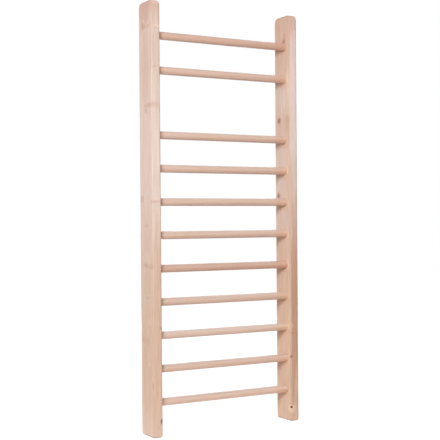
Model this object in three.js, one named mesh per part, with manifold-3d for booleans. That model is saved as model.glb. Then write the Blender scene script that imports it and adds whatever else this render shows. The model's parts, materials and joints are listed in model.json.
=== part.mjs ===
// Swedish wall bars: two rounded uprights, eleven round rungs and the dowel pins that lock them.
// Millimetres, +Z up. The climbing side faces -Y, the wall side faces +Y and the rungs run along X.
// The origin is on the floor, midway between the uprights and midway through their depth.

import * as THREE from 'three';
import { mergeVertices } from 'three/addons/utils/BufferGeometryUtils.js';
import Module from 'manifold-3d';

// Uprights
const clearSpan = 704; // between the inner faces
const uprightThickness = 48;
const uprightDepth = 130;
const headroom = 155; // from the axis of the top rung to the crown of the uprights
const edgeRadius = 10; // rounding along every long edge
const crownCornerRadius = 25; // rounded corners at the top of the side profile
const footCornerRadius = 13; // eased corners at the floor end of the side profile

// Rungs, counted from the floor up
const rungDiameter = 37;
const rungSetback = 42; // rung axis behind the front faces
const lowestRungHeight = 157.5;
const rungPitch = 153.75;
const evenRungCount = 9; // rungs set at the even pitch
const stepThroughGap = 297.5; // the wide gap above them, where one rung is left out
const topRungGap = 160; // between the two rungs at the top
const rungChamfer = 2;

// Joints between rungs and uprights. A pin is driven through the rounded inner front edge, midway
// between the front and inner faces, so that it slants back into the end of its rung.
const socketDepth = 36;
const fitGap = 0.3; // clearance all round a seated rung or pin
const pinDiameter = 5;
const pinRise = 6; // pin axis above the rung axis
const pinBite = 13; // length of a pin inside its rung
const pinRecess = 0.8; // pin head below the rounded edge
const pinChamfer = 0.6;

// Hole near each foot, bored into the same edge, for the screw that ties the upright down
const fixingHoleDiameter = 12;
const fixingHoleHeight = 70;
const fixingHoleDepth = 40;

// Facets
const edgeSteps = 5; // along each rounded edge
const cornerSteps = 4; // along each rounded corner of the side profile
const rungSides = 24;
const pinSides = 12;
const overcut = 1; // how far a cutter starts outside the wood

// Sizes that follow
const rungRadius = rungDiameter / 2;
const pinRadius = pinDiameter / 2;
const innerFaceX = clearSpan / 2;
const frontFaceY = -uprightDepth / 2;
const rungAxisY = frontFaceY + rungSetback;
const rungHeights = [];
for (let index = 0; index < evenRungCount; index += 1) {
  rungHeights.push(lowestRungHeight + index * rungPitch);
}
rungHeights.push(rungHeights.at(-1) + stepThroughGap);
rungHeights.push(rungHeights.at(-1) + topRungGap);
const uprightHeight = rungHeights.at(-1) + headroom;
const rungLength = clearSpan + 2 * (socketDepth - fitGap);

// Along the slant: the rounded edge is where the count starts, and a pin meets its rung where the
// slanted line has gone as deep as the front of the rung at the height of the pin
const slant = Math.SQRT1_2; // sideways or backwards travel for each millimetre of a slanted bore
const edgeInset = edgeRadius * (1 - slant); // the rounded edge in from the front and inner faces
const rungFrontAtPin = rungSetback - Math.sqrt(rungRadius ** 2 - pinRise ** 2);
const pinTip = (rungFrontAtPin - edgeInset) / slant + pinBite;

const ALONG_X = new THREE.Vector3(1, 0, 0);
const ALONG_Y = new THREE.Vector3(0, 1, 0);

const wood = (color) => new THREE.MeshStandardMaterial({ color, roughness: 0.55, metalness: 0 });
const uprightColor = 0xdabba7;
const rungColor = 0xd8b8a2;
const pinColor = 0xcfa684;

const wasm = await Module();
wasm.setup();

// A closed geometry as a solid that can be cut
function solidOf(geometry) {
  const bare = geometry.clone();
  bare.deleteAttribute('normal');
  bare.deleteAttribute('uv');
  const merged = mergeVertices(bare, 1e-4);
  const vertProperties = new Float32Array(merged.attributes.position.array);
  const triVerts = new Uint32Array(merged.index.array);
  return new wasm.Manifold(new wasm.Mesh({ numProp: 3, vertProperties, triVerts }));
}

function meshOf(solid, name, material) {
  const { vertProperties, triVerts } = solid.getMesh();
  const geometry = new THREE.BufferGeometry();
  geometry.setAttribute('position', new THREE.BufferAttribute(new Float32Array(vertProperties), 3));
  geometry.setIndex(new THREE.BufferAttribute(new Uint32Array(triVerts), 1));
  geometry.computeVertexNormals();
  const mesh = new THREE.Mesh(geometry, material);
  mesh.name = name;
  return mesh;
}

// A round bar from one point to another, with chamfered ends
function roundBar(start, end, radius, chamfer, sides) {
  const axis = new THREE.Vector3().subVectors(end, start);
  const length = axis.length();
  const profile = [new THREE.Vector2(0, 0)];
  if (chamfer > 0) {
    profile.push(new THREE.Vector2(radius - chamfer, 0), new THREE.Vector2(radius, chamfer));
    profile.push(new THREE.Vector2(radius, length - chamfer), new THREE.Vector2(radius - chamfer, length));
  } else {
    profile.push(new THREE.Vector2(radius, 0), new THREE.Vector2(radius, length));
  }
  profile.push(new THREE.Vector2(0, length));
  const geometry = new THREE.LatheGeometry(profile, sides);
  geometry.applyQuaternion(new THREE.Quaternion().setFromUnitVectors(ALONG_Y, axis.normalize()));
  geometry.translate(start.x, start.y, start.z);
  return solidOf(geometry);
}

// Side profile of an upright: round corners at the crown, eased ones at the foot.
// It is drawn in by the edge radius, which the rounded edges then give back.
function uprightProfile() {
  const back = uprightDepth / 2 - edgeRadius;
  const front = frontFaceY + edgeRadius;
  const foot = edgeRadius;
  const crown = uprightHeight - edgeRadius;
  const crownRadius = crownCornerRadius - edgeRadius;
  const footRadius = footCornerRadius - edgeRadius;
  const quarter = Math.PI / 2;
  const profile = new THREE.Shape();
  profile.moveTo(front + footRadius, foot);
  profile.absarc(back - footRadius, foot + footRadius, footRadius, -quarter, 0, false);
  profile.absarc(back - crownRadius, crown - crownRadius, crownRadius, 0, quarter, false);
  profile.absarc(front + crownRadius, crown - crownRadius, crownRadius, quarter, 2 * quarter, false);
  profile.absarc(front + footRadius, foot + footRadius, footRadius, 2 * quarter, 3 * quarter, false);
  return profile;
}

// The plain plank before boring, with its inner face on the given side
function uprightBlank(side) {
  const geometry = new THREE.ExtrudeGeometry(uprightProfile(), {
    depth: uprightThickness - 2 * edgeRadius,
    curveSegments: cornerSteps,
    bevelEnabled: true,
    bevelThickness: edgeRadius,
    bevelSize: edgeRadius,
    bevelSegments: edgeSteps,
  });
  const profileToWorld = new THREE.Matrix4();
  profileToWorld.makeBasis(ALONG_Y, new THREE.Vector3(0, 0, 1), ALONG_X);
  geometry.applyMatrix4(profileToWorld);
  const middleX = innerFaceX + uprightThickness / 2;
  geometry.translate(side * middleX - uprightThickness / 2 + edgeRadius, 0, 0);
  return solidOf(geometry);
}

function rungSocket(side, height) {
  const mouth = new THREE.Vector3(side * (innerFaceX - overcut), rungAxisY, height);
  const floor = new THREE.Vector3(side * (innerFaceX + socketDepth), rungAxisY, height);
  return roundBar(mouth, floor, rungRadius + fitGap, 0, rungSides);
}

// A point on the slanted line that goes out and back from the rounded inner front edge
function onSlant(side, travel, height) {
  const x = innerFaceX + edgeInset + travel * slant;
  const y = frontFaceY + edgeInset + travel * slant;
  return new THREE.Vector3(side * x, y, height);
}

function pinHole(side, height) {
  const mouth = onSlant(side, -overcut, height + pinRise);
  const floor = onSlant(side, pinTip + fitGap, height + pinRise);
  return roundBar(mouth, floor, pinRadius + fitGap, 0, pinSides);
}

function fixingHole(side) {
  const mouth = onSlant(side, -overcut, fixingHoleHeight);
  const floor = onSlant(side, fixingHoleDepth, fixingHoleHeight);
  return roundBar(mouth, floor, fixingHoleDiameter / 2, 0, rungSides);
}

function upright(side) {
  let solid = uprightBlank(side).subtract(fixingHole(side));
  for (const height of rungHeights) {
    solid = solid.subtract(rungSocket(side, height)).subtract(pinHole(side, height));
  }
  return solid;
}

function rung(height) {
  const left = new THREE.Vector3(-rungLength / 2, rungAxisY, height);
  const right = new THREE.Vector3(rungLength / 2, rungAxisY, height);
  const bar = roundBar(left, right, rungRadius, rungChamfer, rungSides);
  return bar.subtract(pinHole(-1, height)).subtract(pinHole(1, height));
}

function rungPin(side, height) {
  const head = onSlant(side, pinRecess, height + pinRise);
  const tip = onSlant(side, pinTip, height + pinRise);
  return roundBar(head, tip, pinRadius, pinChamfer, pinSides);
}

const wallBars = new THREE.Group();
wallBars.add(meshOf(upright(-1), 'upright_left', wood(uprightColor)));
wallBars.add(meshOf(upright(1), 'upright_right', wood(uprightColor)));
rungHeights.toReversed().forEach((height, index) => {
  const number = String(index + 1).padStart(2, '0');
  wallBars.add(meshOf(rung(height), `rung_${number}`, wood(rungColor)));
  wallBars.add(meshOf(rungPin(-1, height), `rung_pin_left_${number}`, wood(pinColor)));
  wallBars.add(meshOf(rungPin(1, height), `rung_pin_right_${number}`, wood(pinColor)));
});

export default wallBars;
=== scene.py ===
# %% [markdown]
# # Swedish wall bars
# Two tall planks carry eleven round rungs, and the whole ladder is screwed flat to a wall.
# The planks are pale softwood with every long edge rounded over, the rungs are turned dowels
# glued into blind sockets, and a thin slanted dowel pin locks each rung end.
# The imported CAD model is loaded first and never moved: every piece below is built in its frame,
# in metres, with the floor at Z = 0, the wall behind at +Y and the climbing side at -Y.

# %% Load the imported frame
import json
import math

import bmesh
import bpy
from mathutils import Matrix, Vector

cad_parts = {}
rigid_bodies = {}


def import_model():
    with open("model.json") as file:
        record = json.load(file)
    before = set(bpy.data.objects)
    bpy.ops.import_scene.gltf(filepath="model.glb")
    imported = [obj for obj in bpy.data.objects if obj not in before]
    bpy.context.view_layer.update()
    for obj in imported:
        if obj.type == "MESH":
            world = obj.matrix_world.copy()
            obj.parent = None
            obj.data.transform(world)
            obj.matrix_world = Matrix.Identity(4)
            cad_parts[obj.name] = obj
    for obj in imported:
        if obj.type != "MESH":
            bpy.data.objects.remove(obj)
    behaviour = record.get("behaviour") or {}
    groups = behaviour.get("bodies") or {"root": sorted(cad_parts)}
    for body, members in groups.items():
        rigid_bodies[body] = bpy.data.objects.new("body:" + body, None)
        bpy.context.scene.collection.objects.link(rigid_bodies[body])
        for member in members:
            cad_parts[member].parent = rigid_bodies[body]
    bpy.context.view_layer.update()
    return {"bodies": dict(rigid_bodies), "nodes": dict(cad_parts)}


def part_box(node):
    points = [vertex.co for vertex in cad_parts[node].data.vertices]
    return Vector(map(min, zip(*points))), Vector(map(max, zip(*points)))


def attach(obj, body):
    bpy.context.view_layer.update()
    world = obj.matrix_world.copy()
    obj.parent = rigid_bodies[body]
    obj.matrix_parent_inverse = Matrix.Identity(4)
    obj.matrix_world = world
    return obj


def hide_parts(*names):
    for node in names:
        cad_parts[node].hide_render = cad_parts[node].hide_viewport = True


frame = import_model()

# %% Clear what a new Blender file starts with
own_objects = set(frame["nodes"].values()) | set(frame["bodies"].values())
for leftover in list(bpy.data.objects):
    if leftover not in own_objects:
        bpy.data.objects.remove(leftover)
scene = bpy.context.scene
scene.view_settings.view_transform = "Standard"
print("objects in the frame:", len(own_objects))

# %% [markdown]
# ## Names and places
# The lists of rungs and pins are read from the frame, so a change of rung count in the CAD model
# reaches this file by itself. The inner face of an upright, where the rungs go in, is read from its
# box in the same way.

# %% Sort the nodes by kind
SIDES = ("left", "right")
rung_names = sorted(name for name in frame["nodes"] if name.startswith("rung_") and "pin" not in name)
pin_names = sorted(name for name in frame["nodes"] if name.startswith("rung_pin_"))
rung_boxes = {name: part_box(name) for name in rung_names}
rung_heights = [(low.z + high.z) / 2 for low, high in rung_boxes.values()]


def inner_face(side):
    """X of the upright's inner face, and the direction into its wood."""
    low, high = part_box("upright_" + side)
    return (high.x, Vector((-1, 0, 0))) if side == "left" else (low.x, Vector((1, 0, 0)))


print(len(rung_names), "rungs, at", round(min(rung_heights), 4), "to", round(max(rung_heights), 4), "m")
print(len(pin_names), "pins")

# %% [markdown]
# ## Camera
# The picture is taken from the left of the front, about five metres away with a short telephoto
# lens, so the tall uprights stay almost parallel. The lens is shifted up a little, which frames the
# crowns without tilting the camera, as a product photographer does.

# %% Set up the camera
PICTURE_WIDTH = 440
SENSOR_WIDTH = 36.0
FOCAL_PIXELS = 1008.3
CENTRE_OFFSET_PIXELS = 9.85
CAMERA_PLACE = Vector((-2.4272, -4.1807, 0.9932))
CAMERA_YAW = math.radians(30.061)
CAMERA_PITCH = math.radians(-0.541)
CAMERA_ROLL = math.radians(-0.442)


def camera_axes(yaw, pitch, roll):
    """The camera's right, up and backward directions."""
    forward = Vector((
        math.sin(yaw) * math.cos(pitch),
        math.cos(yaw) * math.cos(pitch),
        math.sin(pitch),
    ))
    level_right = Vector((math.cos(yaw), -math.sin(yaw), 0.0))
    level_up = level_right.cross(forward)
    right = math.cos(roll) * level_right + math.sin(roll) * level_up
    up = math.cos(roll) * level_up - math.sin(roll) * level_right
    return right, up, -forward


lens = bpy.data.cameras.new("photo_lens")
lens.sensor_width = SENSOR_WIDTH
lens.lens = FOCAL_PIXELS / PICTURE_WIDTH * SENSOR_WIDTH
lens.shift_y = CENTRE_OFFSET_PIXELS / PICTURE_WIDTH
camera = bpy.data.objects.new("photo_camera", lens)
scene.collection.objects.link(camera)
turn = Matrix(camera_axes(CAMERA_YAW, CAMERA_PITCH, CAMERA_ROLL)).transposed()
camera.matrix_world = Matrix.Translation(CAMERA_PLACE) @ turn.to_4x4()
scene.camera = camera
print("lens", round(lens.lens, 1), "mm, shift", round(lens.shift_y, 4))

# %% [markdown]
# ## Wiring helpers
# Shader trees are easier to read when one short call adds a node, sets it and wires its inputs.
# `feed` takes either a plain value or another node's output, so the same call does both.

# %% Node helpers
def feed(tree, socket, value):
    """Links value to socket if it is an output, and otherwise sets it."""
    if isinstance(value, bpy.types.NodeSocket):
        tree.links.new(value, socket)
    else:
        socket.default_value = value


def math_node(tree, operation, *values):
    """A Math node's result."""
    node = tree.nodes.new("ShaderNodeMath")
    node.operation = operation
    for socket, value in zip(node.inputs, values):
        feed(tree, socket, value)
    return node.outputs[0]


def vector_node(tree, operation, *values, output="Vector"):
    """A Vector Math node's result."""
    node = tree.nodes.new("ShaderNodeVectorMath")
    node.operation = operation
    for socket, value in zip(node.inputs, values):
        feed(tree, socket, value)
    return node.outputs[output]


def fade(tree, value, start, end):
    """0 before start and 1 after end, with a soft change between; start may be the larger."""
    node = tree.nodes.new("ShaderNodeMapRange")
    node.interpolation_type = "SMOOTHSTEP"
    feed(tree, node.inputs["Value"], value)
    low, high = (0.0, 1.0) if start < end else (1.0, 0.0)
    node.inputs["From Min"].default_value = min(start, end)
    node.inputs["From Max"].default_value = max(start, end)
    node.inputs["To Min"].default_value = low
    node.inputs["To Max"].default_value = high
    return node.outputs["Result"]


print("wiring helpers ready")

# %% Texture and colour helpers
# A Mix node has sockets for every kind of data. These are the places of its colour sockets.
MIX_FIRST = 6
MIX_SECOND = 7
MIX_RESULT = 2
NOISE_MIDDLE = 0.5
# The standard curve from a screen's levels to light: a straight dark end and a power above it.
SCREEN_WHITE = 255
DARK_END = 0.04045
DARK_SLOPE = 12.92
CURVE_OFFSET = 0.055
CURVE_POWER = 2.4


def noise(tree, position, seed, stretch, detail, roughness):
    """Noise from 0 to 1, with stretch cycles per metre along each axis."""
    node = tree.nodes.new("ShaderNodeTexNoise")
    node.noise_dimensions = "4D"
    feed(tree, node.inputs["Vector"], vector_node(tree, "MULTIPLY", position, stretch))
    feed(tree, node.inputs["W"], seed)
    node.inputs["Scale"].default_value = 1.0
    node.inputs["Detail"].default_value = detail
    node.inputs["Roughness"].default_value = roughness
    return node.outputs["Fac"]


def centred(tree, value):
    """A noise moved to lie evenly round zero."""
    return math_node(tree, "SUBTRACT", value, NOISE_MIDDLE)


def mix_colour(tree, amount, first, second, blend="MIX"):
    """first changed towards second by amount."""
    node = tree.nodes.new("ShaderNodeMix")
    node.data_type = "RGBA"
    node.blend_type = blend
    node.clamp_factor = True
    feed(tree, node.inputs["Factor"], amount)
    feed(tree, node.inputs[MIX_FIRST], first)
    feed(tree, node.inputs[MIX_SECOND], second)
    return node.outputs[MIX_RESULT]


def colour(red, green, blue):
    """A colour given as it looks on a screen, 0 to 255, as Blender's linear RGBA."""
    def linear(level):
        share = level / SCREEN_WHITE
        if share <= DARK_END:
            return share / DARK_SLOPE
        return ((share + CURVE_OFFSET) / (1 + CURVE_OFFSET)) ** CURVE_POWER
    return (linear(red), linear(green), linear(blue), 1.0)


print("white on a screen is", colour(SCREEN_WHITE, SCREEN_WHITE, SCREEN_WHITE))

# %% Group helpers
def new_group(name, inputs, outputs):
    """An empty shader node group with these sockets, its input node and its output node."""
    tree = bpy.data.node_groups.new(name, "ShaderNodeTree")
    for title, kind in inputs:
        tree.interface.new_socket(title, in_out="INPUT", socket_type="NodeSocket" + kind)
    for title, kind in outputs:
        tree.interface.new_socket(title, in_out="OUTPUT", socket_type="NodeSocket" + kind)
    return tree, tree.nodes.new("NodeGroupInput"), tree.nodes.new("NodeGroupOutput")


def use_group(tree, group, **values):
    """Places a group in a tree, with its inputs set or wired by name."""
    node = tree.nodes.new("ShaderNodeGroup")
    node.node_tree = group
    for title, value in values.items():
        feed(tree, node.inputs[title.replace("_", " ")], value)
    return node


print("group helpers ready")

# %% [markdown]
# ## Light and backdrop
# The object is lit as in a small product studio: a white room fills every side evenly, and one
# soft lamp, the key, stands in front on the left, a little above the crown. It draws the shadows
# under the rungs on the right upright, which grow longer towards the floor, and the dark ends of
# the rungs beside the left upright. Three weaker lamps help it: one in front on the right lifts the
# front faces, one overhead lights the tops of the rungs, and a wide one behind on the right keeps
# the back from going dark.
# The key is cooler than the room, which is warmed by light that has met wood before, so the shadows
# turn reddish as they do between real planks. The room shows pure white to the camera, but lights
# the wood at a lower level, so the pale wood keeps its colour.

# %% White room
ROOM_LIGHT = (0.322, 0.162, 0.102, 1.0)
WHITE = (1.0, 1.0, 1.0, 1.0)

room = bpy.data.worlds.new("white_room")
scene.world = room
room.use_nodes = True
room_tree = room.node_tree
room_tree.nodes.clear()
paths = room_tree.nodes.new("ShaderNodeLightPath")
seen = math_node(room_tree, "MAXIMUM", paths.outputs["Is Camera Ray"], paths.outputs["Is Glossy Ray"])
seen = math_node(room_tree, "MAXIMUM", seen, paths.outputs["Is Transmission Ray"])
glow = room_tree.nodes.new("ShaderNodeBackground")
feed(room_tree, glow.inputs["Color"], mix_colour(room_tree, seen, ROOM_LIGHT, WHITE))
room_out = room_tree.nodes.new("ShaderNodeOutputWorld")
room_tree.links.new(glow.outputs["Background"], room_out.inputs["Surface"])
print("room light", ROOM_LIGHT[:3])

# %% Soft lamps
KEY_PLACE = Vector((-3.0, -2.8, 2.15))
KEY_SIZE = 1.8
KEY_LEVEL = 0.86
KEY_TINT = (0.899, 1.020, 1.088)
FILL_PLACE = Vector((1.6, -4.6, 1.6))
FILL_SIZE = 2.2
FILL_LEVEL = 0.08
SKY_PLACE = Vector((-0.6, -1.6, 4.4))
SKY_SIZE = 2.4
SKY_LEVEL = 0.18
SKY_TINT = (0.80, 1.0, 1.12)
BACK_PLACE = Vector((2.6, 4.0, 2.4))
BACK_SIZE = 5.0
BACK_LEVEL = 0.55
BACK_TINT = (0.90, 1.0, 1.08)
PLAIN_TINT = (1.0, 1.0, 1.0)
LAMP_AIM = Vector((0.0, 0.0, 1.0))


def soft_lamp(name, place, size, level, tint=PLAIN_TINT):
    """A round soft lamp that lights the middle of the ladder to this level."""
    reach = (LAMP_AIM - place).length
    data = bpy.data.lights.new(name, "AREA")
    data.shape = "DISK"
    data.size = size
    data.color = tint
    data.energy = level * (math.pi * reach) ** 2
    lamp = bpy.data.objects.new(name, data)
    lamp.location = place
    lamp.rotation_euler = (LAMP_AIM - place).to_track_quat("-Z", "Y").to_euler()
    scene.collection.objects.link(lamp)
    print(name, round(data.energy), "W at", round(reach, 2), "m")


soft_lamp("key_lamp", KEY_PLACE, KEY_SIZE, KEY_LEVEL, KEY_TINT)
soft_lamp("front_fill_lamp", FILL_PLACE, FILL_SIZE, FILL_LEVEL)
soft_lamp("sky_lamp", SKY_PLACE, SKY_SIZE, SKY_LEVEL, SKY_TINT)
soft_lamp("back_fill_lamp", BACK_PLACE, BACK_SIZE, BACK_LEVEL, BACK_TINT)

# %% [markdown]
# The floor is plain and white. To the camera it glows nearly to white and its lit paint adds the
# rest, so it joins the backdrop without a line, and only the deepest shadow at the feet can show.
# To all other light it is pale paint near the feet, which throws light up under the rungs, and
# darker paint farther off, so that the undersides don't get too bright.

# %% White floor
FLOOR_HALF = 20.0
FLOOR_PAINT = (0.22, 0.22, 0.22, 1.0)
FLOOR_BOUNCE = (0.84, 0.87, 0.90, 1.0)
FLOOR_FAR = (0.20, 0.20, 0.20, 1.0)
POOL_START = 0.3
POOL_END = 1.0
FLOOR_GLOW = 0.985
FLOOR_ROUGHNESS = 0.9

floor_mesh = bpy.data.meshes.new("floor")
floor_corners = [(x * FLOOR_HALF, y * FLOOR_HALF, 0.0) for x, y in ((-1, -1), (1, -1), (1, 1), (-1, 1))]
floor_mesh.from_pydata(floor_corners, [], [(0, 1, 2, 3)])
floor = bpy.data.objects.new("floor", floor_mesh)
scene.collection.objects.link(floor)

floor_paint = bpy.data.materials.new("floor_paint")
floor_paint.use_nodes = True
floor_tree = floor_paint.node_tree
floor_shader = floor_tree.nodes["Principled BSDF"]
floor_shader.inputs["Roughness"].default_value = FLOOR_ROUGHNESS
floor_shader.inputs["Specular IOR Level"].default_value = 0.0
floor_shader.inputs["Emission Color"].default_value = WHITE
floor_paths = floor_tree.nodes.new("ShaderNodeLightPath")
shown = math_node(
    floor_tree, "MAXIMUM", floor_paths.outputs["Is Camera Ray"], floor_paths.outputs["Is Glossy Ray"])
floor_spot = floor_tree.nodes.new("ShaderNodeTexCoord").outputs["Object"]
floor_away = vector_node(floor_tree, "LENGTH", floor_spot, output="Value")
pool_edge = fade(floor_tree, floor_away, POOL_START, POOL_END)
bounce = mix_colour(floor_tree, pool_edge, FLOOR_BOUNCE, FLOOR_FAR)
feed(floor_tree, floor_shader.inputs["Base Color"], mix_colour(floor_tree, shown, bounce, FLOOR_PAINT))
feed(floor_tree, floor_shader.inputs["Emission Strength"],
     math_node(floor_tree, "MULTIPLY", shown, FLOOR_GLOW))
floor_mesh.materials.append(floor_paint)
print("floor made")

# %% [markdown]
# ## Wood figure
# Sawn wood shows its yearly rings as lines along the grain. A flat picture of grain would break at
# every edge, so the rings are worked out in the solid: each ring is a cylinder round the tree's
# centre (the pith), which lies outside the plank. The same rings then run round the rounded
# edges and show as arcs on the end grain by themselves. Fine fibres are noise stretched along Z,
# and a slow drift with narrow streaks in it makes some parts of a plank a little redder than others.
# The group takes a position whose Z runs along the grain, so the rungs can turn theirs. It puts out
# the colour apart from the Shade that it is multiplied by, which holds the fibres, the small dark
# flecks and a soft mottle. So other tones can be laid on first, and the shade goes over them all.

# %% Measures of the wood figure
BEND_NOISE = {"stretch": (3.0, 3.0, 1.3), "detail": 1.0, "roughness": 0.4}
WAVE_NOISE = {"stretch": (30.0, 30.0, 5.0), "detail": 2.0, "roughness": 0.5}
FIBRE_NOISE = {"stretch": (330.0, 330.0, 7.0), "detail": 4.0, "roughness": 0.62}
FLECK_NOISE = {"stretch": (620.0, 620.0, 34.0), "detail": 2.0, "roughness": 0.5}
DRIFT_NOISE = {"stretch": (9.0, 9.0, 1.1), "detail": 2.0, "roughness": 0.5}
STREAK_NOISE = {"stretch": (85.0, 85.0, 2.4), "detail": 2.0, "roughness": 0.55}
MOTTLE_NOISE = {"stretch": (110.0, 110.0, 9.0), "detail": 3.0, "roughness": 0.6}
# A noise round zero swings half a unit each way, and this factor makes it a whole one.
SWING = 2.0
RING_BEND = 0.022
RING_WAVE = 0.0030
LATE_START = 0.45
LATE_PEAK = 0.86
LATE_END = 0.93
YEAR_LEAST = 0.3
YEAR_SPREAD = 0.7
FLECK_START = 0.60
FLECK_FULL = 0.74
DRIFT_START = 0.32
DRIFT_FULL = 0.70
STREAK_START = 0.36
STREAK_FULL = 0.64
STREAK_SHARE = 0.6
FIBRE_DEPTH = 0.16
FLECK_DEPTH = 0.10
LATE_RELIEF = 0.5
ROUGHNESS_LEAST = 0.46
ROUGHNESS_SPREAD = 0.22
print("rings bend by up to", RING_BEND / SWING, "m")

# %% Year rings
wood, wood_in, wood_out = new_group(
    "wood_figure",
    [("Position", "Vector"), ("Pith X", "Float"), ("Pith Y", "Float"), ("Ring Width", "Float"),
     ("Warp", "Float"), ("Seed", "Float"), ("Early Colour", "Color"), ("Late Colour", "Color"),
     ("Drift Colour", "Color"), ("Ring Strength", "Float"), ("Mottle", "Float")],
    [("Colour", "Color"), ("Shade", "Float"), ("Height", "Float"), ("Roughness", "Float")])
place = wood_in.outputs["Position"]
seed = wood_in.outputs["Seed"]
split = wood.nodes.new("ShaderNodeSeparateXYZ")
feed(wood, split.inputs[0], place)
across_x = math_node(wood, "SUBTRACT", split.outputs["X"], wood_in.outputs["Pith X"])
across_y = math_node(wood, "SUBTRACT", split.outputs["Y"], wood_in.outputs["Pith Y"])
radius_squared = math_node(wood, "MULTIPLY", across_x, across_x)
radius_squared = math_node(wood, "MULTIPLY_ADD", across_y, across_y, radius_squared)
ring_radius = math_node(wood, "SQRT", radius_squared)
bend = centred(wood, noise(wood, place, seed, **BEND_NOISE))
wave = centred(wood, noise(wood, place, seed, **WAVE_NOISE))
ring_radius = math_node(wood, "MULTIPLY_ADD", bend, RING_BEND, ring_radius)
ring_radius = math_node(wood, "MULTIPLY_ADD", wave, RING_WAVE, ring_radius)
ring_radius = math_node(wood, "ADD", ring_radius, wood_in.outputs["Warp"])
phase = math_node(wood, "DIVIDE", ring_radius, wood_in.outputs["Ring Width"])
year = math_node(wood, "FLOOR", phase)
season = math_node(wood, "FRACT", phase)
year_noise = wood.nodes.new("ShaderNodeTexWhiteNoise")
year_noise.noise_dimensions = "1D"
feed(wood, year_noise.inputs["W"], math_node(wood, "ADD", year, seed))
year_depth = math_node(wood, "MULTIPLY_ADD", year_noise.outputs["Value"], YEAR_SPREAD, YEAR_LEAST)
late = fade(wood, season, LATE_START, LATE_PEAK)
late = math_node(wood, "MULTIPLY", late, fade(wood, season, 1.0, LATE_END))
late = math_node(wood, "MULTIPLY", late, year_depth)
print("rings need", len(wood.nodes), "nodes")

# %% Fibres, flecks and drift
fibre = noise(wood, place, seed, **FIBRE_NOISE)
fleck = fade(wood, noise(wood, place, seed, **FLECK_NOISE), FLECK_START, FLECK_FULL)
streak = fade(wood, noise(wood, place, seed, **STREAK_NOISE), STREAK_START, STREAK_FULL)
drift = fade(wood, noise(wood, place, seed, **DRIFT_NOISE), DRIFT_START, DRIFT_FULL)
drift = math_node(wood, "MULTIPLY", drift, 1.0 - STREAK_SHARE)
drift = math_node(wood, "MULTIPLY_ADD", streak, STREAK_SHARE, drift)
mottle = centred(wood, noise(wood, place, seed, **MOTTLE_NOISE))
print("with the fibres", len(wood.nodes), "nodes")

# %% Wood colour, shade and relief
late_share = math_node(wood, "MULTIPLY", late, wood_in.outputs["Ring Strength"])
tint = mix_colour(wood, drift, wood_in.outputs["Early Colour"], wood_in.outputs["Drift Colour"])
tint = mix_colour(wood, late_share, tint, wood_in.outputs["Late Colour"])
shade = math_node(wood, "MULTIPLY_ADD", centred(wood, fibre), FIBRE_DEPTH * SWING, 1.0)
shade = math_node(wood, "SUBTRACT", shade, math_node(wood, "MULTIPLY", fleck, FLECK_DEPTH))
mottle_depth = math_node(wood, "MULTIPLY", wood_in.outputs["Mottle"], SWING)
shade = math_node(wood, "MULTIPLY_ADD", mottle, mottle_depth, shade)
relief = math_node(wood, "MULTIPLY_ADD", late, LATE_RELIEF, fibre)
relief = math_node(wood, "SUBTRACT", relief, fleck)
roughness = math_node(wood, "MULTIPLY_ADD", fibre, ROUGHNESS_SPREAD, ROUGHNESS_LEAST)
feed(wood, wood_out.inputs["Colour"], tint)
feed(wood, wood_out.inputs["Shade"], shade)
feed(wood, wood_out.inputs["Height"], relief)
feed(wood, wood_out.inputs["Roughness"], roughness)
print("wood group:", len(wood.nodes), "nodes")

# %% [markdown]
# ## Knots
# A knot is the foot of a branch: a dark core, a redder halo, and rings that swerve round it. The
# group measures how far a point is from the knot's middle, in knot sizes, and puts out the two
# masks and the swerve. The swerve goes into the wood group's Warp, so the grain bends with it.

# %% Knot group
KNOT_NOISE = {"stretch": (130.0, 130.0, 70.0), "detail": 2.0, "roughness": 0.5}
KNOT_SEED = 0.0
KNOT_RAGGED = 1.5
CORE_RIM = 1.15
CORE_FULL = 0.35
HALO_RIM = 2.4
HALO_FULL = 0.6
SWERVE_RIM = 4.0
SWERVE_FULL = 0.2
KNOT_SWERVE = 0.010

knot, knot_in, knot_out = new_group(
    "knot",
    [("Position", "Vector"), ("Middle", "Vector"), ("Size", "Vector")],
    [("Core", "Float"), ("Halo", "Float"), ("Swerve", "Float")])
knot_place = knot_in.outputs["Position"]
offset = vector_node(knot, "SUBTRACT", knot_place, knot_in.outputs["Middle"])
offset = vector_node(knot, "DIVIDE", offset, knot_in.outputs["Size"])
away = vector_node(knot, "LENGTH", offset, output="Value")
ragged = centred(knot, noise(knot, knot_place, KNOT_SEED, **KNOT_NOISE))
away = math_node(knot, "MULTIPLY_ADD", ragged, KNOT_RAGGED, away)
swerving = fade(knot, away, SWERVE_RIM, SWERVE_FULL)
feed(knot, knot_out.inputs["Core"], fade(knot, away, CORE_RIM, CORE_FULL))
feed(knot, knot_out.inputs["Halo"], fade(knot, away, HALO_RIM, HALO_FULL))
feed(knot, knot_out.inputs["Swerve"], math_node(knot, "MULTIPLY", swerving, KNOT_SWERVE))
print("knot group:", len(knot.nodes), "nodes")

# %% [markdown]
# ## Zones along a plank
# A plank changes colour along its length: pale sapwood where the saw came near the bark, a redder
# stripe where it met the heart, a darker end that drank more lacquer. Each zone is a stretch of
# height with a ragged border, and may be kept to the front of the plank. The front face lies at
# Y = -65 mm, and a zone that keeps to it fades out within the first 2 mm behind it.

# %% Zone group
ZONE_NOISE = {"stretch": (70.0, 70.0, 3.0), "detail": 2.0, "roughness": 0.6}
FRONT_START = -0.063
FRONT_END = -0.065

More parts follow.
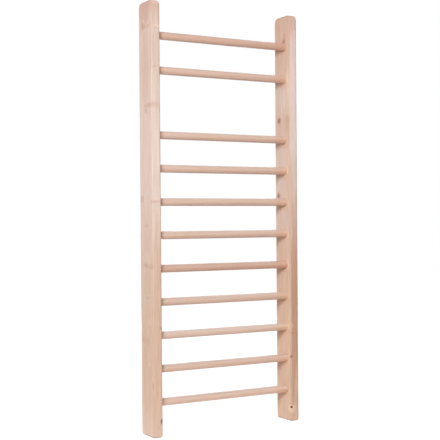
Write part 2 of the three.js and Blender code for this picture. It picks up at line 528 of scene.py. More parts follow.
zone, zone_in, zone_out = new_group(
    "plank_zone",
    [("Position", "Vector"), ("Low Start", "Float"), ("Low End", "Float"), ("High Start", "Float"),
     ("High End", "Float"), ("Front Only", "Float"), ("Seed", "Float")],
    [("Mask", "Float")])
zone_place = zone_in.outputs["Position"]
spot = zone.nodes.new("ShaderNodeSeparateXYZ")
feed(zone, spot.inputs[0], zone_place)
border = centred(zone, noise(zone, zone_place, zone_in.outputs["Seed"], **ZONE_NOISE))


def ragged_fade(first, last):
    """A soft step between two heights that are inputs of the group."""
    node = zone.nodes.new("ShaderNodeMapRange")
    node.interpolation_type = "SMOOTHSTEP"
    span = math_node(zone, "SUBTRACT", zone_in.outputs[last], zone_in.outputs[first])
    shift = math_node(zone, "MULTIPLY", border, math_node(zone, "MULTIPLY", span, SWING))
    feed(zone, node.inputs["Value"], math_node(zone, "ADD", spot.outputs["Z"], shift))
    feed(zone, node.inputs["From Min"], zone_in.outputs[first])
    feed(zone, node.inputs["From Max"], zone_in.outputs[last])
    return node.outputs["Result"]


rise = ragged_fade("Low Start", "Low End")
fall = math_node(zone, "SUBTRACT", 1.0, ragged_fade("High Start", "High End"))
front = fade(zone, spot.outputs["Y"], FRONT_START, FRONT_END)
behind = math_node(zone, "SUBTRACT", 1.0, front)
left_out = math_node(zone, "MULTIPLY", behind, zone_in.outputs["Front Only"])
kept = math_node(zone, "SUBTRACT", 1.0, left_out)
inside = math_node(zone, "MULTIPLY", rise, fall)
feed(zone, zone_out.inputs["Mask"], math_node(zone, "MULTIPLY", inside, kept))
print("zone group:", len(zone.nodes), "nodes")

# %% [markdown]
# ## End grain
# Sawn ends drink more lacquer than the sides and dry darker. The ends are found by how far the
# surface faces along the grain, which is Z on the uprights.

# %% End grain group
SAWN_START = 0.55
SAWN_FULL = 0.97

end_grain, end_in, end_out = new_group("end_grain", [("Grain", "Vector")], [("Mask", "Float")])
facing = end_grain.nodes.new("ShaderNodeNewGeometry").outputs["Normal"]
along = vector_node(end_grain, "DOT_PRODUCT", facing, end_in.outputs["Grain"], output="Value")
along = math_node(end_grain, "ABSOLUTE", along)
feed(end_grain, end_out.inputs["Mask"], fade(end_grain, along, SAWN_START, SAWN_FULL))
print("end grain group:", len(end_grain.nodes), "nodes")

# %% [markdown]
# ## Painted shade on rounded edges
# A rounded edge turns towards the key lamp and would come out brighter than both faces beside it,
# so painted shade deepens its colour. A flat face has a normal along one axis, and a rounded edge
# has not, so the largest part of the normal tells the two apart. A square root lets the painted
# shade start right beside the flat. Only the edges that face left and front get it: they catch the
# key lamp's full light.

# %% Rounded edge group
EDGE_FLAT = 1.0
EDGE_MIDDLE = 0.90
EDGE_AWAY = -0.05
EDGE_LAMP = -0.30
EDGE_BACK = 0.12
EDGE_FRONT = 0.0

painted_edge, _, painted_edge_out = new_group("painted_edge_shade", [], [("Mask", "Float")])
bearing = painted_edge.nodes.new("ShaderNodeNewGeometry")
sides = painted_edge.nodes.new("ShaderNodeSeparateXYZ")
feed(painted_edge, sides.inputs[0], vector_node(painted_edge, "ABSOLUTE", bearing.outputs["Normal"]))
largest = math_node(painted_edge, "MAXIMUM", sides.outputs["X"], sides.outputs["Y"])
largest = math_node(painted_edge, "MAXIMUM", largest, sides.outputs["Z"])
turned_round = math_node(painted_edge, "SQRT", fade(painted_edge, largest, EDGE_FLAT, EDGE_MIDDLE))
direction = painted_edge.nodes.new("ShaderNodeSeparateXYZ")
feed(painted_edge, direction.inputs[0], bearing.outputs["Normal"])
lamp_side = fade(painted_edge, direction.outputs["X"], EDGE_AWAY, EDGE_LAMP)
front_side = fade(painted_edge, direction.outputs["Y"], EDGE_BACK, EDGE_FRONT)
lit = math_node(painted_edge, "MULTIPLY", lamp_side, front_side)
feed(painted_edge, painted_edge_out.inputs["Mask"], math_node(painted_edge, "MULTIPLY", turned_round, lit))
print("rounded edge group:", len(painted_edge.nodes), "nodes")

# %% [markdown]
# ## Painted light on the rungs
# The rungs carry painted light and shade in their colour. The upper side of each rung is painted
# cooler and greyer, as light from overhead would make it, and the underside is painted paler, as
# light thrown up from the floor would. The group tells the two apart by how far the surface faces
# up or down. Along the rung, the left half of the upper side is painted a little darker than the
# right half, a painted fall-off of the light, and painted shade makes the wood warmer and darker at
# the right end, where the rung meets the upright. Each of these layers multiplies the wood's colour
# by its own tone where its mask is.

# %% Painted light group for the rungs
# Tones and masks of the painted light and shade on the rungs.
LEAN_LIGHT_START = 0.15
LEAN_LIGHT_FULL = 0.70
PAINTED_TOP_LIGHT = (0.90, 1.00, 1.09, 1.0)
PAINTED_UNDERSIDE_LIGHT = (1.10, 1.13, 1.17, 1.0)
FALLOFF_START = -0.30
FALLOFF_FULL = 0.50
FALLOFF_REACH = 0.30
PAINTED_SHADE_LEFT = (0.925, 0.93, 0.935, 1.0)
PAINTED_LIGHT_RIGHT = (1.03, 1.075, 1.10, 1.0)
JOINT_SHADE_START = 0.265
JOINT_SHADE_FULL = 0.335
PAINTED_JOINT_SHADE = (0.99, 0.90, 0.82, 1.0)

rung_light, rung_light_in, rung_light_out = new_group(
    "rung_painted_light", [("Colour", "Color"), ("Along", "Float")], [("Colour", "Color")])
rung_along = rung_light_in.outputs["Along"]
leaning = rung_light.nodes.new("ShaderNodeSeparateXYZ")
feed(rung_light, leaning.inputs[0], rung_light.nodes.new("ShaderNodeNewGeometry").outputs["Normal"])
lean = leaning.outputs["Z"]
to_right = fade(rung_light, rung_along, -FALLOFF_REACH, FALLOFF_REACH)
# Painted light and shade: cool top, pale underside, fall-off along the top, shade at the right joint.
painted_layers = (
    (fade(rung_light, lean, LEAN_LIGHT_START, LEAN_LIGHT_FULL), PAINTED_TOP_LIGHT),
    (fade(rung_light, lean, -LEAN_LIGHT_START, -LEAN_LIGHT_FULL), PAINTED_UNDERSIDE_LIGHT),
    (fade(rung_light, lean, FALLOFF_START, FALLOFF_FULL), mix_colour(rung_light, to_right, PAINTED_SHADE_LEFT, PAINTED_LIGHT_RIGHT)),
    (fade(rung_light, rung_along, JOINT_SHADE_START, JOINT_SHADE_FULL), PAINTED_JOINT_SHADE),
)
painted_colour = rung_light_in.outputs["Colour"]
for painted_mask, painted_tone in painted_layers:
    painted_colour = mix_colour(rung_light, painted_mask, painted_colour, painted_tone, blend="MULTIPLY")
feed(rung_light, rung_light_out.inputs["Colour"], painted_colour)
print("rung wear group:", len(rung_light.nodes), "nodes")

# %% [markdown]
# ## Wood materials
# Each plank and each rung is cut from its own place in a tree, so each gets its own pith, seed and
# tint. All share one satin lacquer: a fairly rough base with a thin smoother coat, which is thicker
# on the rungs.

# %% Lacquered wood shader
LACQUER_COAT = 0.05
RUNG_COAT = 0.30
LACQUER_COAT_ROUGHNESS = 0.32
GRAIN_BUMP = 0.22
GRAIN_BUMP_DEPTH = 0.0004


def lacquered(name, coat=LACQUER_COAT):
    """A new material with its tree and its shader, ready for a wood colour."""
    material = bpy.data.materials.new(name)
    material.use_nodes = True
    tree = material.node_tree
    shader = tree.nodes["Principled BSDF"]
    shader.inputs["Coat Weight"].default_value = coat
    shader.inputs["Coat Roughness"].default_value = LACQUER_COAT_ROUGHNESS
    return material, tree, shader


def finish_wood(tree, shader, tint, figure):
    """Wires a colour and the wood group's shade, relief and roughness to the shader."""
    shaded = vector_node(tree, "SCALE", tint)
    feed(tree, shaded.node.inputs["Scale"], figure.outputs["Shade"])
    feed(tree, shader.inputs["Base Color"], shaded)
    feed(tree, shader.inputs["Roughness"], figure.outputs["Roughness"])
    bump = tree.nodes.new("ShaderNodeBump")
    bump.inputs["Strength"].default_value = GRAIN_BUMP
    bump.inputs["Distance"].default_value = GRAIN_BUMP_DEPTH
    feed(tree, bump.inputs["Height"], figure.outputs["Height"])
    feed(tree, shader.inputs["Normal"], bump.outputs["Normal"])


def object_position(tree):
    """The point's place in the object's own frame, in metres."""
    return tree.nodes.new("ShaderNodeTexCoord").outputs["Object"]


print("lacquer coat", LACQUER_COAT)

# %% [markdown]
# The uprights are flat-sawn softwood. Branches grow in whorls, so the knots come in groups along a
# plank. Each knot is listed where it sits: its middle and half-sizes in metres, how strong its core
# and its halo are, and the halo's colour. Knots on a side face are thin across the plank and those
# on the front are thin in depth, so that they don't come out on another face. A few entries are
# stains rather than knots, and a few are painted light and shade: the dark core in the left fixing
# hole is painted shade, the pale halo in the right fixing hole is painted light, and the long faint
# halo high on the left rounded edge is painted shade that dims its highlight. Streaks are longer
# soft patches without a core: middle, half-sizes, strength and colour. Each zone gives its colour,
# its strength, the heights where it comes in and goes out, and whether it keeps to the front.

# %% Tones of the marks in the planks
KNOT_CORE = colour(92, 60, 46)
KNOT_HALO = colour(196, 134, 106)
PALE_KNOT = colour(244, 218, 188)
SAPWOOD = colour(246, 226, 214)
ROSY = colour(245, 220, 211)
STRAW = colour(238, 202, 173)
AMBER = colour(233, 199, 170)
HEART = colour(191, 139, 110)
WEATHERED = colour(191, 170, 152)
PALE_FOOT = colour(221, 203, 185)
SOAKED = colour(204, 164, 142)
RESIN = colour(205, 165, 130)
print("sapwood", SAPWOOD[:3], "heart", HEART[:3])

# %% Places of the knots
KNOTS = {
    "left": [
        ((-0.400, 0.017, 1.889), (0.010, 0.009, 0.009), 0.05, 0.45, KNOT_HALO),
        ((-0.400, -0.020, 1.882), (0.010, 0.034, 0.007), 0.00, 0.20, KNOT_HALO),
        ((-0.381, -0.065, 1.880), (0.006, 0.010, 0.004), 0.00, 0.40, PALE_KNOT),
        ((-0.364, -0.065, 1.879), (0.006, 0.010, 0.005), 0.00, 0.45, PALE_KNOT),
        ((-0.373, -0.065, 1.874), (0.005, 0.010, 0.004), 0.10, 0.30, KNOT_HALO),
        ((-0.384, -0.065, 1.695), (0.011, 0.008, 0.004), 0.06, 0.22, KNOT_HALO),
        ((-0.400, -0.035, 1.522), (0.010, 0.028, 0.008), 0.00, 0.32, KNOT_HALO),
        ((-0.381, -0.065, 1.523), (0.016, 0.008, 0.008), 0.00, 0.26, KNOT_HALO),
        ((-0.400, -0.008, 1.497), (0.010, 0.008, 0.007), 0.05, 0.40, KNOT_HALO),
        ((-0.400, 0.036, 1.094), (0.010, 0.012, 0.010), 0.00, 0.30, KNOT_HALO),
        ((-0.385, -0.064, 1.093), (0.020, 0.010, 0.005), 0.00, 0.35, PALE_KNOT),
        ((-0.385, -0.064, 1.080), (0.018, 0.010, 0.005), 0.02, 0.28, KNOT_HALO),
        ((-0.400, -0.009, 0.970), (0.010, 0.011, 0.007), 0.00, 0.25, KNOT_HALO),
        ((-0.400, -0.008, 0.826), (0.010, 0.013, 0.010), 0.00, 0.42, PALE_KNOT),
        ((-0.400, -0.034, 0.812), (0.010, 0.012, 0.009), 0.00, 0.42, PALE_KNOT),
        ((-0.400, 0.004, 0.788), (0.010, 0.014, 0.007), 0.00, 0.35, KNOT_HALO),
        ((-0.400, -0.042, 0.783), (0.010, 0.014, 0.006), 0.00, 0.26, KNOT_HALO),
        ((-0.400, -0.014, 0.640), (0.010, 0.011, 0.006), 0.00, 0.24, KNOT_HALO),
        ((-0.400, -0.028, 0.530), (0.010, 0.008, 0.007), 0.00, 0.50, PALE_KNOT),
        ((-0.400, 0.008, 0.443), (0.010, 0.036, 0.008), 0.00, 0.20, KNOT_HALO),
        ((-0.400, -0.042, 0.447), (0.010, 0.006, 0.007), 0.00, 0.50, PALE_KNOT),
        ((-0.400, -0.020, 0.335), (0.010, 0.006, 0.006), 0.00, 0.45, PALE_KNOT),
        ((-0.354, -0.060, 0.503), (0.012, 0.012, 0.010), 1.00, 0.20, KNOT_HALO),
        ((-0.3985, -0.060, 0.242), (0.002, 0.004, 0.012), 0.30, 0.10, KNOT_HALO),
        # Painted shade: a dark patch in the left fixing hole.
        ((-0.3585, -0.063, 0.076), (0.011, 0.011, 0.015), 1.00, 0.00, KNOT_HALO),
        # Painted shade: dims the highlight on the rounded edge below the crown.
        ((-0.3985, -0.062, 1.770), (0.007, 0.007, 0.050), 0.00, 0.16, KNOT_HALO),
    ],
    "right": [
        ((0.352, -0.021, 1.8725), (0.010, 0.011, 0.010), 0.50, 0.50, KNOT_HALO),
        ((0.352, -0.026, 1.894), (0.010, 0.007, 0.015), 0.00, 0.35, KNOT_HALO),
        ((0.352, 0.024, 1.487), (0.010, 0.012, 0.012), 0.62, 0.50, KNOT_HALO),
        ((0.352, -0.048, 1.489), (0.010, 0.010, 0.014), 0.00, 0.30, KNOT_HALO),
        ((0.352, 0.033, 1.113), (0.010, 0.011, 0.013), 0.62, 0.50, KNOT_HALO),
        ((0.352, -0.035, 1.709), (0.010, 0.010, 0.013), 0.10, 0.20, KNOT_HALO),
        ((0.352, -0.040, 1.688), (0.010, 0.012, 0.020), 0.00, 0.40, PALE_KNOT),
        ((0.353, -0.048, 0.773), (0.010, 0.008, 0.014), 0.00, 0.50, PALE_KNOT),
        ((0.354, -0.060, 0.473), (0.008, 0.008, 0.010), 0.00, 0.50, PALE_KNOT),
        ((0.366, -0.065, 0.436), (0.015, 0.008, 0.003), 0.00, 0.30, KNOT_HALO),
        ((0.356, -0.062, 0.322), (0.008, 0.008, 0.008), 0.45, 0.00, KNOT_HALO),
        ((0.364, -0.065, 0.050), (0.010, 0.010, 0.007), 0.00, 0.40, PALE_KNOT),
        # Painted light: a pale halo inside the right fixing hole.
        ((0.356, -0.058, 0.066), (0.010, 0.010, 0.011), 0.00, 0.90, PALE_KNOT),
    ],
}
print("knots on the left and right:", len(KNOTS["left"]), len(KNOTS["right"]))

# %% Streaks and zones
BELOW = -1.0
ABOVE = 3.0
FAR_ABOVE = 4.0
STREAKS = {
    "left": [
        ((-0.400, 0.010, 1.660), (0.010, 0.030, 0.100), 0.08, HEART),
        ((-0.400, 0.000, 1.120), (0.010, 0.030, 0.100), 0.15, SAPWOOD),
        ((-0.400, 0.010, 0.720), (0.010, 0.030, 0.110), 0.12, SAPWOOD),
    ],
    "right": [
        ((0.354, -0.052, 1.140), (0.010, 0.014, 0.110), 0.25, RESIN),
        ((0.352, 0.045, 1.140), (0.010, 0.014, 0.110), 0.30, SAPWOOD),
    ],
}
ZONES = {
    "left": [
        (WEATHERED, 0.42, (BELOW, 0.0, ABOVE, FAR_ABOVE), 1.0),
        (SAPWOOD, 0.44, (0.75, 1.05, 1.36, 1.75), 0.0),
        (STRAW, 0.24, (BELOW, 0.0, 1.00, 1.13), 0.0),
        (STRAW, 0.46, (BELOW, 0.0, 0.50, 0.98), 0.0),
        (PALE_FOOT, 0.40, (BELOW, 0.0, 0.02, 0.18), 0.0),
        (HEART, 0.25, (BELOW, 0.0, 0.60, 1.10), 1.0),
        (SOAKED, 0.60, (1.86, 1.97, ABOVE, FAR_ABOVE), 0.0),
    ],
    "right": [
        (ROSY, 0.85, (1.05, 1.45, 1.82, 2.04), 1.0),
        (SAPWOOD, 0.40, (0.66, 1.12, 1.32, 1.50), 0.0),
        (SAPWOOD, 0.42, (1.44, 1.58, 1.62, 1.76), 0.0),
        (AMBER, 0.70, (BELOW, 0.0, 0.50, 1.08), 0.0),
        (HEART, 0.63, (-0.10, 0.35, 0.60, 1.30), 1.0),
        (WEATHERED, 0.20, (BELOW, 0.0, 0.02, 0.32), 0.0),
        (SOAKED, 0.28, (1.84, 1.97, ABOVE, FAR_ABOVE), 0.0),
    ],
}
for kind, marks in (("streaks", STREAKS), ("zones", ZONES)):
    print(kind, "on the left and right:", len(marks["left"]), len(marks["right"]))

# %% Upright tones and painted rung shadows
# Painted shade multiplied into the rounded edges that face the key lamp.
PAINTED_EDGE_SHADE = {"left": (0.765, 0.739, 0.713, 1.0), "right": (0.800, 0.756, 0.704, 1.0)}
UPRIGHT_RING = 0.0125
UPRIGHT_RING_STRENGTH = 0.34
UPRIGHT_MOTTLE = 0.20
# Painted shadow under each rung on the inner faces.
PAINTED_SHADOW_TONE = colour(226, 176, 133)
PAINTED_SHADOW_STRENGTH = 0.40
PAINTED_SHADOW_DROP = 0.008
PAINTED_SHADOW_SIZE = (0.010, 0.016, 0.010)
UPRIGHT_TONES = {
    "left": {
        "Pith_X": -0.24, "Pith_Y": -0.01, "Seed": 3.0, "Early_Colour": colour(239, 211, 198),
        "Drift_Colour": colour(234, 206, 186), "Late_Colour": colour(215, 174, 151),
    },
    "right": {
        "Pith_X": 0.47, "Pith_Y": -0.10, "Seed": 11.0, "Early_Colour": colour(227, 196, 179),
        "Drift_Colour": colour(223, 189, 163), "Late_Colour": colour(205, 164, 140),
    },
}


def painted_rung_shadows(side):
    """A warm painted shadow under each rung, where the rung shades the upright's inner face."""
    face = inner_face(side)[0]
    middles = [(face, (low.y + high.y) / 2, low.z - PAINTED_SHADOW_DROP) for low, high in rung_boxes.values()]
    return [(middle, PAINTED_SHADOW_SIZE, PAINTED_SHADOW_STRENGTH, PAINTED_SHADOW_TONE) for middle in middles]


print("seat marks on each upright:", len(painted_rung_shadows(SIDES[0])))

# %% Upright wood
END_STRENGTH = 0.5
UP = (0.0, 0.0, 1.0)


def tinted(tree, tint, mask, strength, tone):
    """tint moved towards tone where the mask is, by strength at most."""
    return mix_colour(tree, math_node(tree, "MULTIPLY", mask, strength), tint, tone)


def upright_wood(side):
    """The lacquered softwood of one upright, with its own knots and zones."""
    material, tree, shader = lacquered("upright_wood_" + side)
    position = object_position(tree)
    knots = []
    swerve = 0.0
    for middle, size, core, halo, halo_tone in KNOTS[side]:
        one = use_group(tree, knot, Position=position, Middle=middle, Size=size)
        swerve = math_node(tree, "ADD", one.outputs["Swerve"], swerve)
        knots.append((one, core, halo, halo_tone))
    figure = use_group(
        tree, wood, Position=position, Warp=swerve, Ring_Width=UPRIGHT_RING,
        Ring_Strength=UPRIGHT_RING_STRENGTH, Mottle=UPRIGHT_MOTTLE, **UPRIGHT_TONES[side])
    tint = figure.outputs["Colour"]
    for number, (tone, strength, heights, front_only) in enumerate(ZONES[side]):
        area = use_group(
            tree, zone, Position=position, Low_Start=heights[0], Low_End=heights[1],
            High_Start=heights[2], High_End=heights[3], Front_Only=front_only, Seed=float(number))
        tint = tinted(tree, tint, area.outputs["Mask"], strength, tone)
    # Streaks, and the painted shadows under the rungs.
    for middle, size, strength, tone in STREAKS[side] + painted_rung_shadows(side):
        patch = use_group(tree, knot, Position=position, Middle=middle, Size=size)
        tint = tinted(tree, tint, patch.outputs["Halo"], strength, tone)
    for one, core, halo, halo_tone in knots:
        tint = tinted(tree, tint, one.outputs["Halo"], halo, halo_tone)
        tint = tinted(tree, tint, one.outputs["Core"], core, KNOT_CORE)
    ends = use_group(tree, end_grain, Grain=UP)
    tint = tinted(tree, tint, ends.outputs["Mask"], END_STRENGTH, SOAKED)
    # Painted shade on the rounded edges that catch the key lamp.
    edge_shading = use_group(tree, painted_edge)
    tint = mix_colour(tree, edge_shading.outputs["Mask"], tint, PAINTED_EDGE_SHADE[side], blend="MULTIPLY")
    finish_wood(tree, shader, tint, figure)
    return material


upright_materials = {side: upright_wood(side) for side in SIDES}
print("upright materials:", sorted(material.name for material in upright_materials.values()))

# %% [markdown]
# The rungs are turned from straight-grained stock, so their figure is finer. Their grain runs along
# X, so the position is turned before it goes into the wood group. Early wood and drift each have a
# plain tone and a redder one. A rung's redness says how far it lies towards the redder one, and
# below zero it is paler than plain.

# %% Rung wood
RUNG_RING = 0.0050
RUNG_RING_STRENGTH = 0.25
RUNG_MOTTLE = 0.07
RUNG_EARLY = (colour(229, 196, 176), colour(219, 178, 156))
RUNG_DRIFT = (colour(224, 188, 164), colour(212, 168, 144))
RUNG_LATE = colour(190, 148, 124)
RUNG_REDNESS = {
    "rung_01": 0.9, "rung_02": 0.5, "rung_03": 0.2, "rung_04": 0.2, "rung_07": 0.9, "rung_09": -0.4,
}
RUNG_PITH_DROP = 0.11
RUNG_PITH_SPREAD = 0.05
RUNG_PITH_TURN = 2.4
RUNG_SEED = 20.0
RUNG_SEED_STEP = 3.7


def blended(first, second, share):
    """A colour that lies share of the way from first to second."""
    return tuple(a + (b - a) * share for a, b in zip(first, second))


def rung_wood(name, number):
    """The lacquered wood of one rung, with its grain along X."""
    material, tree, shader = lacquered("wood_" + name, RUNG_COAT)
    parts = tree.nodes.new("ShaderNodeSeparateXYZ")
    feed(tree, parts.inputs[0], object_position(tree))
    turned = tree.nodes.new("ShaderNodeCombineXYZ")
    for target, source in (("X", "Y"), ("Y", "Z"), ("Z", "X")):
        feed(tree, turned.inputs[target], parts.outputs[source])
    redness = RUNG_REDNESS.get(name, 0.0)
    low, high = rung_boxes[name]
    pith_height = (low.z + high.z) / 2 - RUNG_PITH_DROP
    figure = use_group(
        tree, wood, Position=turned.outputs[0], Warp=0.0, Seed=RUNG_SEED + RUNG_SEED_STEP * number,
        Ring_Width=RUNG_RING, Ring_Strength=RUNG_RING_STRENGTH, Mottle=RUNG_MOTTLE,
        Pith_X=RUNG_PITH_SPREAD * math.sin(RUNG_PITH_TURN * number), Pith_Y=pith_height,
        Early_Colour=blended(*RUNG_EARLY, redness), Drift_Colour=blended(*RUNG_DRIFT, redness),
        Late_Colour=RUNG_LATE)
    # The rung's painted light and shade go over its wood colour here.
    painted_rung = use_group(tree, rung_light, Colour=figure.outputs["Colour"], Along=parts.outputs["X"])
    finish_wood(tree, shader, painted_rung.outputs["Colour"], figure)
    return material


rung_materials = {name: rung_wood(name, number) for number, name in enumerate(rung_names)}
print("rung materials:", len(rung_materials))

# %% [markdown]
# The pins are thin dowels. Only their small ends show, so a fine plain figure is enough for them.
# Most have nearly the colour of the plank round them, but one end has turned dark.

# %% Pin wood
PIN_RING = 0.0012
PIN_RING_STRENGTH = 0.4
PIN_MOTTLE = 0.1
PIN_PITH = -0.2
PIN_SEED = 70.0
PIN_TONES = (colour(205, 172, 146), colour(196, 160, 134), colour(170, 130, 104))
DARK_PIN_TONES = (colour(76, 54, 43), colour(70, 50, 40), colour(62, 44, 36))
DARK_PINS = ("rung_pin_right_10",)


def pin_wood(name, early, drift, late):
    """The wood of the pins, in these three tones."""
    material, tree, shader = lacquered(name)
    figure = use_group(
        tree, wood, Position=object_position(tree), Warp=0.0, Ring_Width=PIN_RING, Seed=PIN_SEED,
        Ring_Strength=PIN_RING_STRENGTH, Mottle=PIN_MOTTLE, Pith_X=0.0, Pith_Y=PIN_PITH,
        Early_Colour=early, Drift_Colour=drift, Late_Colour=late)
    finish_wood(tree, shader, figure.outputs["Colour"], figure)
    return material


pin_material = pin_wood("pin_end_wood", *PIN_TONES)
dark_pin_material = pin_wood("dark_pin_end", *DARK_PIN_TONES)
print("pin materials:", pin_material.name, dark_pin_material.name)

# %% [markdown]
# ## Mesh helpers
# Two shapes make up the whole ladder: a plank with rounded edges and a round bar. Both are built
# from closed loops of points, joined one to the next, so that the rounding is real geometry. Sockets
# and holes are then cut with the Boolean modifier, which leaves a clean closed mesh.

# %% Loops into meshes
def loft(bm, loops):
    """Joins equal closed loops of points one after another and closes both ends."""
    rows = [[bm.verts.new(point) for point in loop] for loop in loops]
    count = len(rows[0])
    for near, far in zip(rows, rows[1:]):
        for here in range(count):
            after = (here + 1) % count
            bm.faces.new((near[here], near[after], far[after], far[here]))
    bm.faces.new(list(reversed(rows[0])))
    bm.faces.new(rows[-1])


def bar_loops(start, end, stations, segments):
    """Loops of a round bar; each station is (distance from start, radius)."""
    axis = (end - start).normalized()
    side = axis.orthogonal().normalized()
    other = axis.cross(side)
    angles = [2 * math.pi * step / segments for step in range(segments)]
    spokes = [side * math.cos(angle) + other * math.sin(angle) for angle in angles]
    return [
        [start + axis * distance + spoke * radius for spoke in spokes]
        for distance, radius in stations
    ]


def mesh_object(name, bm):
    """A Blender object made from a bmesh, with faces pointing out."""
    bmesh.ops.recalc_face_normals(bm, faces=bm.faces)
    mesh = bpy.data.meshes.new(name)
    bm.to_mesh(mesh)
    bm.free()
    piece = bpy.data.objects.new(name, mesh)
    scene.collection.objects.link(piece)
    return piece


print("loop helpers ready")

# %% Cutting and shading
SHARP_ANGLE = math.radians(35)


def cut(piece, cutter):
    """Cuts cutter out of piece for good, and removes cutter."""
    step = piece.modifiers.new("cut", "BOOLEAN")
    step.operation = "DIFFERENCE"
    step.solver = "EXACT"
    step.object = cutter
    graph = bpy.context.evaluated_depsgraph_get()
    result = bpy.data.meshes.new_from_object(piece.evaluated_get(graph))
    piece.modifiers.clear()
    spent = piece.data
    piece.data = result
    bpy.data.meshes.remove(spent)
    bpy.data.objects.remove(cutter)


def smooth(piece):
    """Smooth shading that keeps flats flat and real corners crisp."""
    mesh = piece.data
    mesh.shade_smooth()
    mesh.set_sharp_from_angle(angle=SHARP_ANGLE)
    weighted = piece.modifiers.new("flat_faces", "WEIGHTED_NORMAL")
    weighted.keep_sharp = True


print("corners sharper than", round(math.degrees(SHARP_ANGLE)), "degrees stay crisp")

# %% [markdown]
# ## Uprights
# Each upright is one plank, 48 mm thick, 130 mm deep and two metres tall. A router has rounded all
# its long edges, the crown has large round corners and the foot small ones. The loft starts on the
# left face, swells through the rounded edge to the full outline, and shrinks again on the right
# side. Sockets for the rungs are drilled from the inner face, and the slanted pin holes and the
# fixing hole by the foot are drilled through the rounded inner front edge.

# %% Rounded plank
EDGE_RADIUS = 0.010
CROWN_RADIUS = 0.025
FOOT_RADIUS = 0.013
EDGE_STEPS = 10
CROWN_STEPS = 14
FOOT_STEPS = 8
QUARTER_TURN = math.pi / 2


def outline(low, high, inset):
    """The plank's side outline, drawn inset from the box: foot corners first, then the crown."""
    front, back = low.y + inset, high.y - inset
    bottom, top = low.z + inset, high.z - inset
    crown, foot = CROWN_RADIUS - inset, FOOT_RADIUS - inset
    corners = (
        (front + foot, bottom + foot, foot, QUARTER_TURN * 2, FOOT_STEPS),
        (back - foot, bottom + foot, foot, QUARTER_TURN * 3, FOOT_STEPS),
        (back - crown, top - crown, crown, 0.0, CROWN_STEPS),
        (front + crown, top - crown, crown, QUARTER_TURN, CROWN_STEPS),
    )
    points = []
    for depth, height, radius, first, steps in corners:
        for step in range(steps + 1):
            angle = first + QUARTER_TURN * step / steps
            points.append((depth + radius * math.cos(angle), height + radius * math.sin(angle)))
    return points


def plank(name, low, high):
    """An upright without its holes."""
    layers = []
    for step in range(EDGE_STEPS + 1):
        angle = QUARTER_TURN * step / EDGE_STEPS
        x = low.x + EDGE_RADIUS * (1 - math.sin(angle))
        layers.append((x, EDGE_RADIUS * (1 - math.cos(angle))))
    layers.reverse()
    mirrored = [(low.x + high.x - x, inset) for x, inset in reversed(layers)]
    bm = bmesh.new()
    loft(bm, [
        [Vector((x, depth, height)) for depth, height in outline(low, high, inset)]
        for x, inset in layers + mirrored
    ])
    return mesh_object(name, bm)


print("crown radius", CROWN_RADIUS, "m, edge radius", EDGE_RADIUS, "m")

# %% Rung sockets
BORE_SEGMENTS = 64
SOCKET_CLEARANCE = 0.0003
SOCKET_DEPTH = 0.036
SOCKET_EASE = 0.0008
OVERCUT = 0.004


def socket_cutters(side):
    """One object with every rung socket of an upright, each with a slightly eased mouth."""
    face, inward = inner_face(side)
    bm = bmesh.new()
    for low, high in rung_boxes.values():
        radius = (high.z - low.z) / 2 + SOCKET_CLEARANCE
        mouth = Vector((face, (low.y + high.y) / 2, (low.z + high.z) / 2))
        flare = radius + SOCKET_EASE
        stations = (
            (0.0, flare + OVERCUT), (OVERCUT + SOCKET_EASE, radius), (OVERCUT + SOCKET_DEPTH, radius))
        loft(bm, bar_loops(mouth - inward * OVERCUT, mouth + inward, stations, BORE_SEGMENTS))
    return mesh_object("socket_cutter", bm)


print("sockets", SOCKET_DEPTH, "m deep")

# %% Pin and fixing holes
PIN_DIAMETER = 0.005
PIN_CLEARANCE = 0.00015
PIN_SEGMENTS = 32
PIN_REACH = 0.030
FIXING_DIAMETER = 0.012
FIXING_HEIGHT = 0.070
FIXING_DEPTH = 0.040
FIXING_EASE = 0.0022
SLANT_ANGLE = math.radians(45)


def slant(side):
    """The direction of the pins and fixing holes: back and out, halfway between the two."""
    out = -1 if side == "left" else 1
    return Vector((out, 1, 0)).normalized()


def pin_line(name):
    """A point before a pin's head, and the direction the pin is driven in."""
    side = "left" if "left" in name else "right"
    low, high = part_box(name)
    middle = (low + high) / 2
    return middle - slant(side) * PIN_REACH, slant(side)


def pin_cutters(names):
    """One object with the holes of these pins."""
    bm = bmesh.new()
    for name in names:
        start, way = pin_line(name)
        radius = PIN_DIAMETER / 2 + PIN_CLEARANCE
        stations = ((0.0, radius), (PIN_REACH * 2, radius))
        loft(bm, bar_loops(start, start + way, stations, PIN_SEGMENTS))
    return mesh_object("pin_cutter", bm)


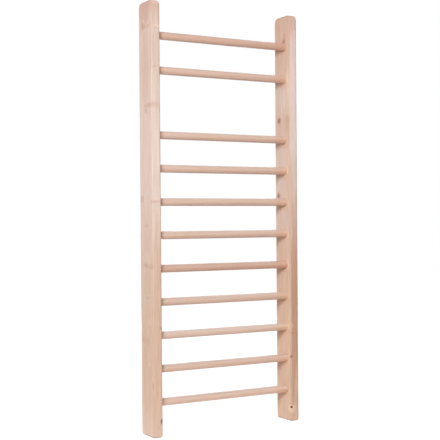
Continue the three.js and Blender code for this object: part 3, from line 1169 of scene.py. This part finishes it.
def fixing_cutter(side):
    """The hole by the foot, drilled through the rounded inner front edge."""
    low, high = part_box("upright_" + side)
    face, inward = inner_face(side)
    # At its middle the rounded edge stands back this far from both of its faces.
    round_in = EDGE_RADIUS * (1 - math.cos(SLANT_ANGLE))
    mouth = Vector((face + inward.x * round_in, low.y + round_in, FIXING_HEIGHT))
    radius = FIXING_DIAMETER / 2
    bm = bmesh.new()
    stations = (
        (0.0, radius + FIXING_EASE + OVERCUT), (OVERCUT + FIXING_EASE, radius),
        (OVERCUT + FIXING_DEPTH, radius))
    start = mouth - slant(side) * OVERCUT
    loft(bm, bar_loops(start, start + slant(side), stations, PIN_SEGMENTS))
    return mesh_object("fixing_cutter", bm)


print("fixing holes at", FIXING_HEIGHT, "m")

# %% Build the uprights
for side in SIDES:
    node_name = "upright_" + side
    piece = plank("plank_" + side, *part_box(node_name))
    cut(piece, socket_cutters(side))
    cut(piece, pin_cutters([name for name in pin_names if side in name]))
    cut(piece, fixing_cutter(side))
    smooth(piece)
    piece.data.materials.clear()
    piece.data.materials.append(upright_materials[side])
    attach(piece, "root")
    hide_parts(node_name)
    print(piece.name, len(piece.data.polygons), "faces")

# %% [markdown]
# ## Rungs
# A rung is a turned dowel with small chamfers on its hidden ends. Blender's own cylinder could serve
# too, but the loft gives the chamfers in the same step. It has many sides, so the outline stays
# round in a close view, and the pins' holes are cut through the two ends.

# %% Build the rungs
RUNG_SEGMENTS = 72
RUNG_CHAMFER = 0.002
RUNG_SPANS = 12

for name in rung_names:
    low, high = rung_boxes[name]
    radius = (high.z - low.z) / 2
    length = high.x - low.x
    start = Vector((low.x, (low.y + high.y) / 2, (low.z + high.z) / 2))
    inner = length - 2 * RUNG_CHAMFER
    stations = [(0.0, radius - RUNG_CHAMFER)]
    stations += [(RUNG_CHAMFER + inner * step / RUNG_SPANS, radius) for step in range(RUNG_SPANS + 1)]
    stations.append((length, radius - RUNG_CHAMFER))
    bm = bmesh.new()
    loft(bm, bar_loops(start, start + Vector((1, 0, 0)), stations, RUNG_SEGMENTS))
    piece = mesh_object("dowel_" + name, bm)
    cut(piece, pin_cutters([pin for pin in pin_names if pin.endswith(name[-3:])]))
    smooth(piece)
    piece.data.materials.clear()
    piece.data.materials.append(rung_materials[name])
    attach(piece, "root")
    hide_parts(name)
print("rungs built:", len(rung_names), "of", len(piece.data.polygons), "faces")

# %% [markdown]
# ## Pins
# The CAD pins already have the right shape, so they stay as they are and only take their wood.

# %% Dress the pins
for name in pin_names:
    pin = frame["nodes"][name]
    pin.data.materials.clear()
    pin.data.materials.append(dark_pin_material if name in DARK_PINS else pin_material)
print("pins dressed:", len(pin_names))
